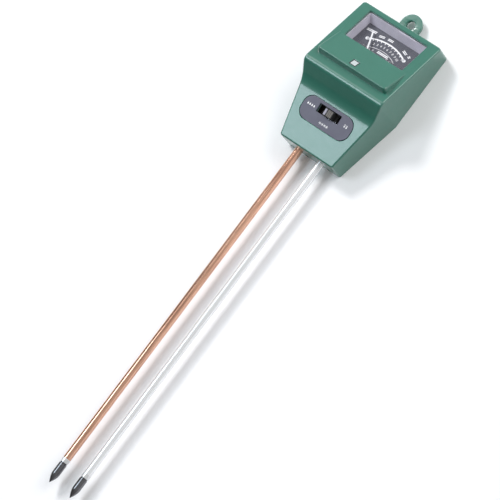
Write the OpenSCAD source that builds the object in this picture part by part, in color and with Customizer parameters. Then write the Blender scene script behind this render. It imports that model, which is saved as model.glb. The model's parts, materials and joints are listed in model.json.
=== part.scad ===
// Soil moisture meter: a wedge-shaped head with a dial and a three-way switch, and two probes.
// It lies on its flat back. X is the width, +Y runs from the probe tips to the hanging loop,
// and +Z points up out of the back. The origin is the centre of the back face.

/* [Head] */
// Width of the head from its top edge down to the knee
head_w = 50; // [48:0.5:52]
// Length of the head along the probes
head_len = 79; // [78:0.5:82]
// Width of the head at its base
base_w = 34; // [34:0.5:37]
// Thickness of the head at its top edge
top_t = 12; // [12:0.25:13]
// Thickness of the head at the ridge
ridge_t = 28; // [28:0.25:29]
// Thickness of the head at its base
base_t = 14; // [14:0.25:14.5]
// Thickness of the moulded walls
wall = 2; // [1.8:0.1:2.2]

/* [Probes] */
// Length of each probe below the head, with its tip
probe_len = 204; // [150:1:260]
// Diameter of each probe
probe_d = 4.2; // [4:0.1:4.4]
// Distance between the two probe axes
probe_pitch = 14; // [13.5:0.1:14.5]
// Height of the probe axes above the back face
probe_z = 6.2; // [6:0.1:6.4]

/* [Dial] */
// Width of the dial window
window_w = 37; // [35:0.5:37.5]
// Height of the dial window along the sloping face
window_h = 19.4; // [18.5:0.1:19.6]
// Distance of the window from the head's top edge
window_v = 2.8; // [2.8:0.1:3]
// Distance of the needle's axis from the head's top edge
pivot_v = 32.5; // [32.3:0.1:32.7]
// Length of the needle from its axis to its point
needle_len = 26; // [22:0.5:27]
// Angle of the resting needle to the left of the middle of the scale
needle_rest = 26; // [24:1:28]

/* [Switch] */
// Width of the switch plate
plate_w = 31; // [30:0.5:31.5]
// Height of the switch plate
plate_h = 12.6; // [12:0.2:12.6]
// Width of the switch knob
knob_w = 6; // [5.6:0.1:6.2]

/* [Loop] */
// Outer diameter of the hanging loop
loop_d = 12; // [11:0.2:12.4]
// Diameter of the hole in the hanging loop
loop_hole_d = 4.8; // [4.4:0.2:5.2]

/* [Hidden] */

$fn = 48;
past = 1;           // how far a cut runs past the surface that it opens

// Head outline
base_y = -head_len / 2;
top_y = head_len / 2;
knee_y = base_y + 36;
ridge_y = base_y + 37;
hollow_y = base_y + 28.75;
hollow_t = base_t + 5.2;
dial_tilt = atan((ridge_t - top_t) / (top_y - ridge_y));
lower_tilt = atan((hollow_t - base_t) / (hollow_y - base_y));
top_edge_r = 0.9;
ridge_r = 3.4;
hollow_r = 13;
base_edge_r = 1;
top_corner_r = 1.6;
knee_r = 6;
base_corner_r = 1.4;

// Back cover and the step that it sits in
cover_t = 2.2;
step_wall = 1;
cover_gap = 0.1;
peg_r = 1;
peg_h = 5;
peg_gap = 0.3;
peg_post_r = 1.9;
board_post_r = 2;
frame_hole_depth = 6;
board_hole_depth = 3.5;
peg_places = [[21.3, 33], [-21.3, 33], [12.9, -34.5], [-12.9, -34.5]];
loop_y = top_y + 3.3;
loop_z = 2.3;
loop_t = 2.3;

// Hood below the window, in the plane of the dial face
hood_top = window_v + window_h;
hood_len = 16.6;
hood_w = 44.4;
hood_rise = 3.5;
hood_tilt = atan(hood_rise / hood_len);
hood_wall = 1.8;
hood_lip = 0.5;
hood_lip_r = 0.8;
hood_corner_r = 1.6;
hood_depth = 4;
sensor_side = 4;
sensor_x = -1;
sensor_down = 12.6;
sensor_sunk = 0.2;
cell_w = 6;
cell_h = 4.6;
cell_t = 1;

// Dial surround, window and dial plate, measured inwards from the dial face
surround_wall = 0.6;
surround_side_slope = 0.7;
surround_top_slope = 2;
surround_gap = 0.1;
flange_top = -2.2;
flange_t = 1;
flange_w = 0.8;
window_t = 1;
window_top = -0.5;
surround_top = window_top - window_t;
dial_top = -6.5;
dial_t = 0.5;
dial_screw_x = 13;
dial_screw_v = 25.5;
dial_screw_depth = 3;

// Screws
screw_r = 0.8;
screw_head_r = 1.5;
screw_head_t = 0.8;
screw_slot = 0.4;
slot_depth = 0.3;
post_screw_depth = 4;
frame_screw_r = 0.9;
frame_screw_head_r = 1.7;
foot_screw_head_r = 1.1;
foot_screw_slot = 0.3;
back_screw_head_r = 1.3;

// Movement, measured inwards from the dial face and outwards from the needle's axis
frame_top = -16.8;
frame_t = 1.5;
ear_x = 18;
ring_or = 8;
ring_ir = 6.2;
ring_h = 7;
magnet_r = 3.7;
magnet_bottom = -16.2;
magnet_h = 5.8;
coil_or = 5.4;
coil_bar = 1;
coil_bottom = -17.6;
coil_top = -9;
coil_w = 2.4;
pivot_r = 0.45;
front_pivot_end = -3.1;
back_pivot_end = -19.8;
front_bridge_top = -2;
bridge_t = 1.2;
bridge_w = 5;
back_bridge_bottom = -20.8;
leg_x = 12;
leg_t = 1;
foot_w = 3.6;
foot_screw_x = 14.3;
back_leg_x = 10.6;
jewel_r = 1.2;
jewel_cup_r = 0.6;
jewel_cup_depth = 0.95;
hub_bottom = -5.3;
hub_h = 1.1;
hub_r = 1.4;
needle_z = -4.9;
needle_t = 0.3;
spring_t = 0.4;
front_spring_z = -7.2;
back_spring_z = -18.8;
stop_angle = 34;
stop_radius = 16;
stop_r = 0.4;
stop_h = 2.4;

// Switch and circuit board, measured inwards from the lower face and up from the base edge
plate_mid = 19;
plate_t = 0.8;
plate_pocket = 0.7;
plate_gap = 0.15;
plate_corner = 5.2;
slot_mid = 21.4;
slot_w = 13.8;
slot_h = 4.5;
slot_gap = 0.2;
knob_h = 3.9;
knob_top_w = 3.6;
knob_rise = 1.7;
case_w = 19;
case_h = 8;
case_depth = 4.6;
case_t = 0.4;
case_top = -wall;
slider_top = -2.6;
slider_t = 1.6;
slider_w = 9;
slider_h = 6.4;
switch_base_top = -5.6;
switch_base_t = 1.2;
terminal_end = -9.4;
contact_y = 1.9;
board_top = -7;
board_t = 1.2;
board_w = 30;
board_h = 14;
board_mid = slot_mid + 0.4;
board_screw_x = 13;
resistor_mid = 26;
resistor_x = 6;
resistor_r = 1.1;
resistor_len = 4.8;
resistor_pitch = 7;
resistor_wire_r = 0.3;
resistor_drop = 1.5;

// Probes and what holds them
probe_r = probe_d / 2;
probe_bore_r = probe_r - 0.5;
probe_inner_r = probe_r - 0.2;      // the tube is drawn down inside the head, up to a shoulder
sleeve_r = 3.4;
sleeve_end = base_y + 9.5;
probe_inner_end = base_y + 12;
tip_len = 12;
tip_nose = 5.5;
tip_neck = 0.6;
tip_neck_r = probe_r - 0.25;
nose_power = 1.7;
spigot_len = 8;
tag_t = 0.7;
tag_len = 2.2;
tab_out = 3.4;
tab_h = 1.6;

// Routes of the leads inside the head
lead_r = 0.5;
COPPER_PROBE_ROUTE = [
    [-12.3, -28.6, 5.4], [-13.2, -28.3, 5.4], [-13.9, -27, 5.5], [-13.7, -25.2, 5.7],
    [-12.6, -23.4, 6], [-11, -22.2, 6.6], [-9.9, -21.8, 7.4], [-9.6, -21.8, 8.5]
];
ZINC_PROBE_ROUTE = [for (p = COPPER_PROBE_ROUTE) [-p[0], p[1], p[2]]];
METER_PLUS_ROUTE = [
    [11, -11.2, 12.4], [11.2, -10.6, 13.4], [12, -9, 14.8], [13.4, -6, 15.8], [14.2, -2.6, 16.2],
    [14, 1, 16.2], [13.6, 3.4, 16.1], [13.5, 5.4, 16]
];
METER_MINUS_ROUTE = [
    [-11, -11.3, 12.4], [-11.1, -10.4, 13.3], [-11.4, -8.8, 13.3], [-11.8, -7.6, 12],
    [-12, -7, 9.5], [-11.8, -5.6, 7], [-11.2, -3, 5.8], [-10.6, 0, 5.8]
];
CELL_PLUS_ROUTE = [
    [5, -11.2, 12.4], [5.2, -10.6, 13.4], [5.5, -8.8, 15.6], [5.6, -6.4, 18.2], [5.4, -4, 20.8],
    [4.6, -1.5, 22.4], [3.4, 1, 23.1], [2.2, 3, 22.7], [1.4, 4.3, 22.9], [1.1, 5, 23.9],
    [1, 5.3, 25]
];
CELL_MINUS_ROUTE = [
    [-5, -11.2, 12.4], [-5.2, -10.6, 13.4], [-5.9, -8.8, 15.6], [-6.4, -6.4, 18.2],
    [-6.4, -4, 20.8], [-5.8, -1.5, 22.4], [-4.8, 1, 23.1], [-3.9, 3, 22.7], [-3.3, 4.3, 22.9],
    [-3.1, 5, 23.9], [-3, 5.3, 25]
];

// ---- Geometry helpers ----

function unit(v) = v / norm(v);
function left_of(v) = [-v[1], v[0]];
function spin(v, angle) = [
    v[0] * cos(angle) - v[1] * sin(angle),
    v[0] * sin(angle) + v[1] * cos(angle)
];
function corner_xy(c) = [c[0], c[1]];

// Point where the line through p along u meets the line through q along v
function meet(p, u, q, v) = p + u * (cross(q - p, v) / cross(u, v));

// Counter-clockwise corners [x, y, radius], moved inwards by d
function inset_corners(c, d) = [
    for (i = [0 : len(c) - 1])
        let (
            a = corner_xy(c[(i + len(c) - 1) % len(c)]),
            b = corner_xy(c[i]),
            e = corner_xy(c[(i + 1) % len(c)]),
            u = unit(b - a),
            v = unit(e - b),
            m = meet(b + left_of(u) * d, u, b + left_of(v) * d, v),
            r = cross(u, v) > 0 ? max(c[i][2] - d, 0) : c[i][2] + d
        )
        [m[0], m[1], r]
];

// Points of an outline whose corners [x, y, radius] are rounded by arcs of a few steps
function rounded(c, steps = 8) = [
    for (i = [0 : len(c) - 1])
        let (
            a = corner_xy(c[(i + len(c) - 1) % len(c)]),
            b = corner_xy(c[i]),
            e = corner_xy(c[(i + 1) % len(c)]),
            r = c[i][2],
            u = unit(b - a),
            v = unit(e - b),
            turn = atan2(cross(u, v), u * v),
            side = sign(turn),
            start = b - u * (r * tan(abs(turn) / 2)),
            middle = start + left_of(u) * (r * side)
        )
        each r <= 0 ? [b] : [
            for (k = [0 : steps]) middle + spin(start - middle, turn * k / steps)
        ]
];

// Corners of a rectangle about the origin with one corner radius
function rect_corners(w, h, r) = [
    [-w / 2, -h / 2, r], [w / 2, -h / 2, r], [w / 2, h / 2, r], [-w / 2, h / 2, r]
];

// Side view of the head, (y, z), from its back upwards
function side_corners(back_z) = [
    [base_y, back_z, 0],
    [top_y, back_z, 0],
    [top_y, top_t, top_edge_r],
    [ridge_y, ridge_t, ridge_r],
    [hollow_y, hollow_t, hollow_r],
    [base_y, base_t, base_edge_r]
];

// Front view of the head, (x, y)
plan_corners = [
    [-base_w / 2, base_y, base_corner_r],
    [base_w / 2, base_y, base_corner_r],
    [head_w / 2, knee_y, knee_r],
    [head_w / 2, top_y, top_corner_r],
    [-head_w / 2, top_y, top_corner_r],
    [-head_w / 2, knee_y, knee_r]
];

// Frame of the dial face: the origin is at the top edge, +Y runs up the slope, +Z outwards
module on_dial_face() {
    translate([0, top_y, top_t])
        rotate([-dial_tilt, 0, 0])
            children();
}

// Frame of the movement: as the dial face, with the origin where the needle's axis crosses it
module on_movement() {
    on_dial_face()
        translate([0, -pivot_v, 0])
            children();
}

// Frame of the parts that turn with the needle
module on_needle() {
    on_movement()
        rotate([0, 0, needle_rest])
            children();
}

// Frame of the hood's sloping top
module on_hood() {
    on_dial_face()
        translate([0, -hood_top, 0])
            rotate([-hood_tilt, 0, 0])
                children();
}

// Frame of the lower face: the origin is at the base edge, +Y runs up the face, +Z outwards
module on_lower_face() {
    translate([0, base_y, base_t])
        rotate([lower_tilt, 0, 0])
            children();
}

// A plate from height z, h thick, from corners [x, y, radius]
module slab(corners, z, h) {
    translate([0, 0, z])
        linear_extrude(h)
            polygon(rounded(corners));
}

// A rectangular block centred in x and y, from height z
module block(w, h, z, t, x = 0, y = 0) {
    translate([x - w / 2, y - h / 2, z])
        cube([w, h, t]);
}

// A cylinder along z from height z
module rod(r, z, h, x = 0, y = 0) {
    translate([x, y, z])
        cylinder(r = r, h = h);
}

// The children and their mirror image on the other side
module both_sides() {
    children();
    mirror([1, 0, 0])
        children();
}

// A screw along z: its shank runs from z_tip, and its head ends at z_head
module screw(shank_r, head_r, z_tip, z_seat, z_head, slot) {
    difference() {
        union() {
            rod(shank_r, min(z_tip, z_seat), abs(z_seat - z_tip));
            rod(head_r, min(z_seat, z_head), abs(z_head - z_seat));
        }
        block(3 * head_r, slot, z_head - slot_depth, 2 * slot_depth);
    }
}

// A round wire of radius r swept along points by rings of a few sides
module wire(points, r, sides = 8) {
    last = len(points) - 1;
    function direction(i) = unit(points[min(i + 1, last)] - points[max(i - 1, 0)]);
    function across(i) = unit(cross(direction(i), [0.31, 0.17, 0.93]));
    rings = [
        for (i = [0 : last])
            let (d = direction(i), a = across(i), b = cross(d, a))
                for (k = [0 : sides - 1])
                    points[i] + a * (r * cos(360 * k / sides)) + b * (r * sin(360 * k / sides))
    ];
    walls = [
        for (i = [0 : last - 1])
            for (k = [0 : sides - 1])
                let (a = i * sides + k, b = i * sides + (k + 1) % sides)
                    each [[a, a + sides, b + sides], [a, b + sides, b]]
    ];
    start_cap = [[for (k = [0 : sides - 1]) k]];
    end_cap = [[for (k = [0 : sides - 1]) last * sides + sides - 1 - k]];
    polyhedron(rings, concat(walls, start_cap, end_cap));
}

// A flat spiral ribbon about the z axis
module spiral(r_in, r_out, turns, width, z, h) {
    steps = 20 * turns;
    function spiral_point(i, offset) =
        (r_in + (r_out - r_in) * i / steps + offset)
            * [cos(360 * turns * i / steps), sin(360 * turns * i / steps)];
    inner = [for (i = [0 : steps]) spiral_point(i, -width / 2)];
    outer = [for (i = [steps : -1 : 0]) spiral_point(i, width / 2)];
    translate([0, 0, z])
        linear_extrude(h)
            polygon(concat(inner, outer));
}

// ---- Shell ----

// The head's outer form moved inwards by d, with its back at back_z
module head_form(d, back_z) {
    intersection() {
        rotate([90, 0, 90])
            linear_extrude(head_w, center = true)
                polygon(rounded(inset_corners(side_corners(back_z - d), d)));
        translate([0, 0, back_z - past])
            linear_extrude(ridge_t + 2 * past - back_z)
                polygon(rounded(inset_corners(plan_corners, d)));
    }
}

// The wedge-shaped hood moved inwards by d, from depth below the dial face
module hood_form(d, depth) {
    side = [
        [-hood_len, -depth - past, 0],
        [0, -depth - past, 0],
        [0, 0, 0],
        [-hood_len, hood_rise, hood_lip_r],
        [-hood_len - hood_lip, 0, 0]
    ];
    plan = [
        [-hood_w / 2, -hood_len - hood_lip, hood_corner_r],
        [hood_w / 2, -hood_len - hood_lip, hood_corner_r],
        [hood_w / 2, 0, hood_lip],
        [-hood_w / 2, 0, hood_lip]
    ];
    on_dial_face()
        translate([0, -hood_top, 0])
            intersection() {
                rotate([90, 0, 90])
                    linear_extrude(hood_w, center = true)
                        polygon(rounded(inset_corners(side, d)));
                slab(inset_corners(plan, d), -depth, depth + hood_rise + past);
            }
}

// Posts that stand on the inside of the front wall
module inner_posts() {
    for (p = peg_places)
        rod(peg_post_r, cover_t, ridge_t, p[0], p[1]);
    on_movement()
        both_sides()
            rod(peg_post_r, frame_top, ridge_t, ear_x, 0);
    on_lower_face()
        both_sides()
            rod(board_post_r, board_top, ridge_t, board_screw_x, slot_mid);
}

// Blind holes in the posts
module post_holes() {
    for (p = peg_places)
        rod(peg_r, cover_t - past, peg_h + past, p[0], p[1]);
    on_movement()
        both_sides()
            rod(frame_screw_r, frame_top - past, frame_hole_depth + past, ear_x, 0);
    on_lower_face()
        both_sides()
            rod(screw_r, board_top - past, board_hole_depth + past, board_screw_x, slot_mid);
}

module probe_sleeves() {
    for (side = [-1, 1])
        translate([side * probe_pitch / 2, base_y + wall / 2, probe_z])
            rotate([-90, 0, 0])
                cylinder(r = sleeve_r, h = sleeve_end - base_y - wall / 2);
}

module probe_holes() {
    for (side = [-1, 1])
        translate([side * probe_pitch / 2, base_y - past, probe_z])
            rotate([-90, 0, 0])
                cylinder(r = probe_inner_r, h = sleeve_end - base_y + 2 * past);
}

module front_housing() {
    color([0.27, 0.50, 0.42])
        difference() {
            union() {
                difference() {
                    union() {
                        head_form(0, 0);
                        hood_form(0, 1);
                        rod(loop_d / 2, loop_z, loop_t, 0, loop_y);
                        block(loop_d, loop_y - top_y + wall, loop_z, loop_t,
                              0, (loop_y + top_y - wall) / 2);
                    }
                    head_form(wall, -past);
                    hood_form(hood_wall, hood_depth);
                    slab(inset_corners(plan_corners, step_wall), -past, cover_t + past);
                }
                intersection() {
                    inner_posts();
                    union() {
                        head_form(wall / 2, cover_t);
                        hood_form(hood_wall / 2, hood_depth);
                    }
                }
                probe_sleeves();
            }
            post_holes();
            probe_holes();
            on_dial_face()
                block(window_w, window_h, -hood_depth, 2 * hood_depth,
                      0, -window_v - window_h / 2);
            on_hood()
                block(sensor_side, sensor_side, -hood_depth, 2 * hood_depth,
                      sensor_x, -sensor_down);
            on_lower_face() {
                translate([0, plate_mid, 0])
                    slab(rect_corners(plate_w + 2 * plate_gap, plate_h + 2 * plate_gap, plate_corner),
                         -plate_pocket, plate_pocket + past);
                block(slot_w + 2 * slot_gap, slot_h + 2 * slot_gap, -wall - past, wall + 2 * past,
                      0, slot_mid);
            }
            rod(loop_hole_d / 2, loop_z - past, loop_t + 2 * past, 0, loop_y);
        }
}

module back_cover() {
    color([0.42, 0.58, 0.55])
        union() {
            slab(inset_corners(plan_corners, step_wall + cover_gap), 0, cover_t);
            for (p = peg_places)
                rod(peg_r, cover_t, peg_h - peg_gap, p[0], p[1]);
        }
}

// ---- Dial ----

// The surround's side walls and its top wall slope inwards down to the dial plate
module dial_surround() {
    inner_w = window_w - 2 * surround_gap - 2 * surround_wall;
    inner_h = window_h - 2 * surround_gap - 2 * surround_wall;
    color([0.66, 0.65, 0.70])
        on_dial_face()
            translate([0, -window_v - window_h / 2, 0])
                difference() {
                    union() {
                        block(inner_w + 2 * surround_wall, inner_h + 2 * surround_wall,
                              dial_top, surround_top - dial_top);
                        block(window_w + 2 * flange_w, window_h + 2 * flange_w,
                              flange_top - flange_t, flange_t);
                    }
                    hull() {
                        block(inner_w, inner_h, surround_top, past);
                        block(inner_w - 2 * surround_side_slope, inner_h - surround_top_slope,
                              dial_top - past, past, 0, -surround_top_slope / 2);
                    }
                    block(inner_w, 4 * surround_wall, dial_top - past,
                          flange_top - flange_t - dial_top + past, 0, -inner_h / 2);
                }
}

module dial_window() {
    w = window_w - 2 * surround_gap;
    h = window_h - 2 * surround_gap;
    color([0.85, 0.92, 0.95, 0.3])
        on_dial_face()
            block(w, h, window_top - window_t, window_t, 0, -window_v - window_h / 2);
}

module sensor_window() {
    color([0.9, 0.93, 0.95, 0.5])
        on_hood()
            block(sensor_side, sensor_side, -hood_wall, hood_wall - sensor_sunk,
                  sensor_x, -sensor_down);
}

module photocell() {
    color([0.25, 0.22, 0.30])
        on_hood()
            block(cell_w, cell_h, -hood_wall - cell_t, cell_t, sensor_x, -sensor_down + sensor_sunk);
}

module dial_plate() {
    plate_across = 38;
    top_edge = 3.6;
    low_edge = 28.5;
    corner = 1.5;
    color([0.34, 0.35, 0.39])
        on_dial_face()
            difference() {
                translate([0, -(top_edge + low_edge) / 2, 0])
                    slab(rect_corners(plate_across, low_edge - top_edge, corner), dial_top - dial_t,
                         dial_t);
                both_sides()
                    rod(screw_r, dial_top - dial_t - past, dial_t + 2 * past, dial_screw_x, -dial_screw_v);
            }
}

module dial_screws() {
    color("silver")
        on_dial_face()
            for (side = [-1, 1])
                translate([side * dial_screw_x, -dial_screw_v, 0])
                    screw(screw_r, screw_head_r, dial_top - dial_t - dial_screw_depth, dial_top,
                          dial_top + screw_head_t, screw_slot);
}

module needle_stops() {
    color("silver")
        on_movement()
            for (side = [-1, 1])
                rotate([0, 0, side * stop_angle])
                    rod(stop_r, dial_top, stop_h, 0, stop_radius);
}

// ---- Movement ----

module movement_frame() {
    plate_across = 31;
    plate_down = 18;
    plate_shift = 0.2;
    ear_r = 3;
    ear_root_x = 16.4;
    pillar_r = 1.7;
    web_w = 4;
    web_h = 5.3;
    drum_r = 6.6;
    bore_h = 9;
    color([0.86, 0.86, 0.84])
        on_movement()
            difference() {
                union() {
                    block(plate_across, plate_down, frame_top - frame_t, frame_t, 0, plate_shift);
                    both_sides() {
                        rod(ear_r, frame_top - frame_t, frame_t, ear_x, 0);
                        block(ear_r, 2 * ear_r, frame_top - frame_t, frame_t, ear_root_x, 0);
                        rod(pillar_r, frame_top, dial_top - dial_t - frame_top,
                            dial_screw_x, pivot_v - dial_screw_v);
                    }
                    intersection() {
                        difference() {
                            rod(ring_ir, frame_top, web_h);
                            rod(magnet_r, frame_top - past, bore_h);
                        }
                        block(web_w, plate_across, frame_top, bore_h);
                    }
                }
                difference() {
                    rod(drum_r, frame_top - frame_t - past, frame_t + past);
                    difference() {
                        block(web_w, plate_across, frame_top - frame_t, frame_t);
                        rod(magnet_r, frame_top - frame_t - past, bore_h);
                    }
                }
                both_sides() {
                    rod(screw_r, frame_top - frame_t - past, bore_h, foot_screw_x, 0);
                    rod(screw_r, frame_top - frame_t - past, bore_h, back_leg_x, 0);
                    rod(frame_screw_r, frame_top - frame_t - past, bore_h, ear_x, 0);
                    rod(screw_r, dial_top - dial_t - dial_screw_depth, bore_h,
                        dial_screw_x, pivot_v - dial_screw_v);
                }
            }
}

module movement_screws() {
    color("silver")
        on_movement()
            for (side = [-1, 1])
                translate([side * ear_x, 0, 0])
                    screw(frame_screw_r, frame_screw_head_r, frame_top + post_screw_depth,
                          frame_top - frame_t, frame_top - frame_t - screw_head_t, screw_slot);
}

module yoke_ring() {
    color([0.55, 0.56, 0.58])
        on_movement()
            difference() {
                rod(ring_or, frame_top, ring_h);
                rod(ring_ir, frame_top - past, ring_h + 2 * past);
            }
}

module core_magnet() {
    color([0.30, 0.30, 0.32])
        on_movement()
            rod(magnet_r, magnet_bottom, magnet_h);
}

module front_bridge() {
    color([0.80, 0.68, 0.36])
        on_movement()
            difference() {
                union() {
                    block(2 * (leg_x + leg_t), bridge_w, front_bridge_top - bridge_t, bridge_t);
                    both_sides() {
                        block(leg_t, bridge_w, frame_top, front_bridge_top - frame_top,
                              leg_x + leg_t / 2, 0);
                        block(foot_w, bridge_w, frame_top, bridge_t, leg_x + foot_w / 2, 0);
                    }
                }
                rod(jewel_r, front_bridge_top - bridge_t - past, bridge_t + 2 * past);
                both_sides()
                    rod(screw_r, frame_top - past, bridge_t + 2 * past, foot_screw_x, 0);
            }
}

module back_bridge() {
    legs_top = frame_top - frame_t;
    leg_w = 3;
    strip_w = 4;
    color([0.80, 0.68, 0.36])
        on_movement()
            difference() {
                union() {
                    block(2 * back_leg_x + leg_w, strip_w, back_bridge_bottom, bridge_t);
                    both_sides()
                        block(leg_w, strip_w, back_bridge_bottom, legs_top - back_bridge_bottom,
                              back_leg_x, 0);
                }
                rod(jewel_r, back_bridge_bottom - past, bridge_t + 2 * past);
                both_sides()
                    rod(screw_r, back_bridge_bottom - past, legs_top - back_bridge_bottom + 2 * past,
                        back_leg_x, 0);
            }
}

module bridge_screws() {
    foot_top = frame_top + bridge_t;
    color("silver")
        on_movement()
            for (side = [-1, 1]) {
                translate([side * foot_screw_x, 0, 0])
                    screw(screw_r, foot_screw_head_r, frame_top - frame_t + 0.2, foot_top,
                          foot_top + screw_head_t, foot_screw_slot);
                translate([side * back_leg_x, 0, 0])
                    screw(screw_r, back_screw_head_r, frame_top - 0.2, back_bridge_bottom,
                          back_bridge_bottom - screw_head_t, foot_screw_slot);
            }
}

module front_jewel_screw() {
    low = -3.9;
    h = 2.2;
    color([0.83, 0.70, 0.35])
        on_movement()
            difference() {
                rod(jewel_r, low, h);
                rod(jewel_cup_r, low - past, jewel_cup_depth + past);
                block(4 * jewel_r, screw_slot, low + h - slot_depth, past);
            }
}

module back_jewel_screw() {
    high = -19;
    h = 2.7;
    color([0.83, 0.70, 0.35])
        on_movement()
            difference() {
                rod(jewel_r, high - h, h);
                rod(jewel_cup_r, high - jewel_cup_depth, jewel_cup_depth + past);
                block(4 * jewel_r, screw_slot, high - h - past + slot_depth, past);
            }
}

// A ring on the jewel screw with an arm and a tab that holds the hairspring's outer end
module spring_arm(ring_z, tab_from, tab_to) {
    ring_r = 2.2;
    arm_w = 1;
    tab_x = 4.25;
    tab_w = 0.5;
    difference() {
        union() {
            rod(ring_r, ring_z, spring_t);
            block(tab_x - jewel_r, arm_w, ring_z, spring_t, (tab_x + jewel_r) / 2, 0);
            block(tab_w, arm_w, tab_from, tab_to - tab_from, tab_x, 0);
        }
        rod(jewel_r, ring_z - past, spring_t + 2 * past);
    }
}

module front_spring_arm() {
    ring_z = front_bridge_top - bridge_t - spring_t;
    color("silver")
        on_movement()
            spring_arm(ring_z, front_spring_z, ring_z + spring_t);
}

module back_spring_arm() {
    ring_z = back_bridge_bottom + bridge_t;
    color("silver")
        on_movement()
            spring_arm(ring_z, ring_z, back_spring_z + spring_t);
}

// A spiral spring between a collet on the pivot and the tab of its arm
module hairspring(z) {
    collet_r = 0.9;
    outer_r = 3.9;
    turns = 4;
    ribbon = 0.14;
    difference() {
        union() {
            rod(collet_r, z, spring_t);
            spiral(collet_r + 0.05, outer_r, turns, ribbon, z, spring_t);
            block(0.2, 0.3, z, spring_t, outer_r, 0);
        }
        rod(pivot_r, z - past, spring_t + 2 * past);
    }
}

module front_hairspring() {
    color([0.72, 0.45, 0.28])
        on_movement()
            hairspring(front_spring_z);
}

module back_hairspring() {
    color([0.72, 0.45, 0.28])
        on_movement()
            hairspring(back_spring_z);
}

module moving_coil() {
    color([0.72, 0.38, 0.22])
        on_needle()
            difference() {
                block(2 * coil_or, coil_w, coil_bottom, coil_top - coil_bottom);
                block(2 * (coil_or - coil_bar), coil_w + 2 * past, coil_bottom + coil_bar,
                      coil_top - coil_bottom - 2 * coil_bar);
            }
}

module coil_pivots() {
    color("silver")
        on_needle() {
            rod(pivot_r, coil_top, front_pivot_end - coil_top);
            rod(pivot_r, back_pivot_end, coil_bottom - back_pivot_end);
        }
}

module needle() {
    root_w = 1;
    point_w = 0.5;
    point_len = 1;
    tail_len = 6.4;
    color([0.96, 0.96, 0.96])
        on_needle()
            difference() {
                union() {
                    rod(hub_r, hub_bottom, hub_h);
                    translate([0, 0, needle_z])
                        linear_extrude(needle_t)
                            polygon([
                                [-root_w / 2, -tail_len], [root_w / 2, -tail_len],
                                [root_w / 2, 0], [point_w / 2, needle_len - point_len],
                                [0, needle_len], [-point_w / 2, needle_len - point_len],
                                [-root_w / 2, 0]
                            ]);
                }
                rod(pivot_r, hub_bottom - past, hub_h + 2 * past);
            }
}

module counterweight() {
    weight_w = 2.4;
    weight_len = 1.7;
    weight_t = 1;
    weight_out = 5.4;
    color([0.83, 0.70, 0.35])
        on_needle()
            block(weight_w, weight_len, needle_z - weight_t, weight_t, 0, -weight_out);
}

// ---- Switch ----

module switch_plate() {
    color([0.44, 0.45, 0.51])
        on_lower_face()
            difference() {
                translate([0, plate_mid, 0])
                    slab(rect_corners(plate_w, plate_h, plate_corner), -plate_pocket, plate_t);
                block(slot_w, slot_h, -plate_t - past, plate_t + 2 * past, 0, slot_mid);
            }
}

module switch_case() {
    color([0.70, 0.71, 0.72])
        on_lower_face()
            difference() {
                block(case_w, case_h, case_top - case_depth, case_depth, 0, slot_mid);
                block(case_w - 2 * case_t, case_h - 2 * case_t, case_top - case_depth - past,
                      case_depth - case_t + past, 0, slot_mid);
                block(slot_w, slot_h, case_top - case_t - past, case_t + 2 * past, 0, slot_mid);
            }
}

// Two rows of four flat terminals
module terminals() {
    for (x = [-6, -2, 2, 6], y = [-contact_y, contact_y])
        block(1, 0.5, terminal_end, switch_base_top + 0.2 - terminal_end, x, slot_mid + y);
}

module switch_base() {
    color([0.45, 0.30, 0.18])
        on_lower_face()
            difference() {
                block(case_w - 2 * case_t, case_h - 2 * case_t, switch_base_top - switch_base_t,
                      switch_base_t, 0, slot_mid);
                terminals();
            }
}

module switch_terminals() {
    color([0.85, 0.80, 0.62])
        on_lower_face()
            terminals();
}

// The knob, whose left flank slopes, and the slider block under it
module switch_knob() {
    stem_low = slider_top - slider_t;
    color([0.25, 0.25, 0.26])
        on_lower_face()
            translate([0, slot_mid, 0])
                union() {
                    hull() {
                        slab(rect_corners(knob_w, knob_h, 0.5), stem_low, -stem_low);
                        translate([(knob_w - knob_top_w) / 2, 0, 0])
                            slab(rect_corners(knob_top_w, knob_h, 0.5), stem_low,
                                 knob_rise - stem_low);
                    }
                    block(slider_w, slider_h, stem_low, slider_t);
                }
}

module switch_contacts() {
    contact_w = 5.6;
    contact_d = 1.4;
    contact_h = 1.1;
    foot = 1;
    strip = 0.3;
    contact_z = slider_top - slider_t - contact_h;
    color([0.85, 0.70, 0.40])
        on_lower_face()
            for (y = [-contact_y, contact_y])
                translate([0, slot_mid + y, 0])
                    difference() {
                        block(contact_w, contact_d, contact_z, contact_h);
                        block(contact_w - 2 * foot, 2 * contact_d, contact_z - past,
                              contact_h - strip + past);
                    }
}

module circuit_board() {
    color([0.20, 0.42, 0.26])
        on_lower_face()
            difference() {
                block(board_w, board_h, board_top - board_t, board_t, 0, board_mid);
                terminals();
                both_sides()
                    rod(screw_r, board_top - board_t - past, board_t + 2 * past,
                        board_screw_x, slot_mid);
                for (x = [-resistor_x, resistor_x], end = [-resistor_pitch, resistor_pitch])
                    rod(resistor_wire_r, board_top - board_t - past, board_t + 2 * past,
                        x + end / 2, resistor_mid);
            }
}

module board_screws() {
    seat = board_top - board_t;
    color("silver")
        on_lower_face()
            for (side = [-1, 1])
                translate([side * board_screw_x, slot_mid, 0])
                    screw(screw_r, screw_head_r, seat + post_screw_depth, seat,
                          seat - screw_head_t, screw_slot);
}

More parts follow.
